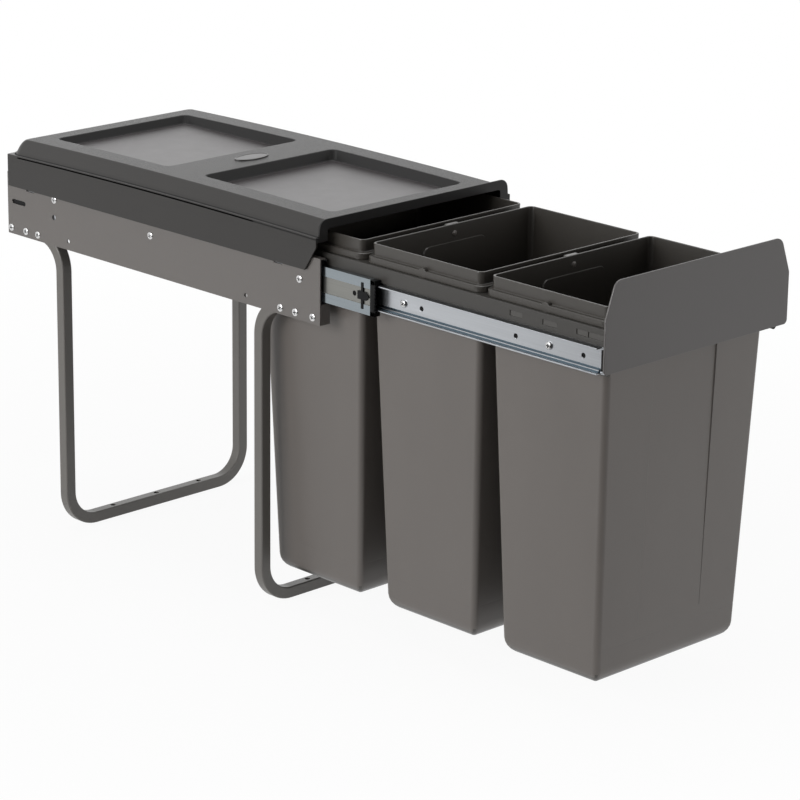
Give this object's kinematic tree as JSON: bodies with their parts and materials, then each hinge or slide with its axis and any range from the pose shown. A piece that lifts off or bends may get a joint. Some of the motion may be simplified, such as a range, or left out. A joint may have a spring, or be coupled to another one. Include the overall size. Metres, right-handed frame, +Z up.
{
  "type": "pull-out waste bin unit",
  "caption": "Floor-standing pull-out waste sorting unit: hanging bins on ball-bearing slides under a recessed lid, with a front plate, for a narrow kitchen cabinet.",
  "frame": {"origin": "on the cabinet floor, in the middle of the four outer floor screw holes", "axes": "+X to the right and +Y to the rear as a person in front of the cabinet sees it, +Z up; the drawer opens towards -Y"},
  "size_m": [0.262, 0.834, 0.4219],
  "materials": {
    "panel_steel": "satin powder coat",
    "tube_steel": "satin powder coat",
    "zinc_steel": "bright zinc plate",
    "bright_screw": "bright zinc plate",
    "ball_steel": "polished",
    "black_plastic": "matt",
    "lid_plastic": "fine leather grain with smooth recesses",
    "bin_plastic": "satin",
    "carrier_plastic": "satin",
    "plate_steel": "satin powder coat",
    "badge_plastic": "satin"
  },
  "bodies": {
    "frame": {"side_panel_left": "panel_steel", "side_panel_right": "panel_steel", "leg_frame_rear": "tube_steel", "leg_frame_front": "tube_steel", "leg_tube_plugs": "black_plastic", "leg_screws_left": "bright_screw", "leg_screws_right": "bright_screw", "slide_screws_left": "bright_screw", "slide_screws_right": "bright_screw", "slide_outer_left": "zinc_steel", "slide_outer_right": "zinc_steel"},
    "lid": {"lid": "lid_plastic", "lid_badge": "badge_plastic"},
    "outer_cage_left": {"outer_ball_cage_left": "zinc_steel", "outer_balls_left": "ball_steel"},
    "outer_cage_right": {"outer_ball_cage_right": "zinc_steel", "outer_balls_right": "ball_steel"},
    "middle_left": {"slide_middle_left": "zinc_steel", "slide_catch_left": "black_plastic", "slide_end_cap_left": "black_plastic"},
    "middle_right": {"slide_middle_right": "zinc_steel", "slide_catch_right": "black_plastic", "slide_end_cap_right": "black_plastic"},
    "inner_cage_left": {"inner_ball_cage_left": "zinc_steel", "inner_balls_left": "ball_steel"},
    "inner_cage_right": {"inner_ball_cage_right": "zinc_steel", "inner_balls_right": "ball_steel"},
    "drawer": {"bin_carrier": "carrier_plastic", "carrier_screws": "bright_screw", "front_plate": "plate_steel", "front_plate_nuts": "zinc_steel", "bin_rear": "bin_plastic", "slide_inner_left": "zinc_steel", "slide_inner_right": "zinc_steel"},
    "bin_middle": {"bin_middle": "bin_plastic"},
    "bin_front": {"bin_front": "bin_plastic"}
  },
  "joints": [
    {"name": "left_middle_slide", "type": "slide", "parent": "frame", "child": "middle_left", "axis": [0, -1, 0], "range_m": [-0.076, 0.104]},
    {"name": "right_middle_slide", "type": "slide", "parent": "frame", "child": "middle_right", "axis": [0, -1, 0], "range_m": [-0.076, 0.104]},
    {"name": "left_outer_cage_slide", "type": "slide", "parent": "frame", "child": "outer_cage_left", "axis": [0, -1, 0], "range_m": [-0.038, 0.052]},
    {"name": "right_outer_cage_slide", "type": "slide", "parent": "frame", "child": "outer_cage_right", "axis": [0, -1, 0], "range_m": [-0.038, 0.052]},
    {"name": "drawer_slide", "type": "slide", "parent": "middle_left", "child": "drawer", "axis": [0, -1, 0], "range_m": [-0.27, 0]},
    {"name": "left_inner_cage_slide", "type": "slide", "parent": "middle_left", "child": "inner_cage_left", "axis": [0, -1, 0], "range_m": [-0.135, 0]},
    {"name": "right_inner_cage_slide", "type": "slide", "parent": "middle_right", "child": "inner_cage_right", "axis": [0, -1, 0], "range_m": [-0.135, 0]},
    {"name": "lid_lift", "type": "slide", "parent": "frame", "child": "lid", "axis": [0, 0, 1], "range_m": [0, 0.06]},
    {"name": "middle_bin_lift", "type": "slide", "parent": "drawer", "child": "bin_middle", "axis": [0, 0, 1], "range_m": [0, 0.4]},
    {"name": "front_bin_lift", "type": "slide", "parent": "drawer", "child": "bin_front", "axis": [0, 0, 1], "range_m": [0, 0.4]}
  ],
  "couplings": [
    {"joint": "right_middle_slide", "follows": "left_middle_slide", "ratio": 1},
    {"joint": "left_outer_cage_slide", "follows": "left_middle_slide", "ratio": 0.5},
    {"joint": "right_outer_cage_slide", "follows": "left_middle_slide", "ratio": 0.5},
    {"joint": "left_inner_cage_slide", "follows": "drawer_slide", "ratio": 0.5},
    {"joint": "right_inner_cage_slide", "follows": "drawer_slide", "ratio": 0.5}
  ]
}
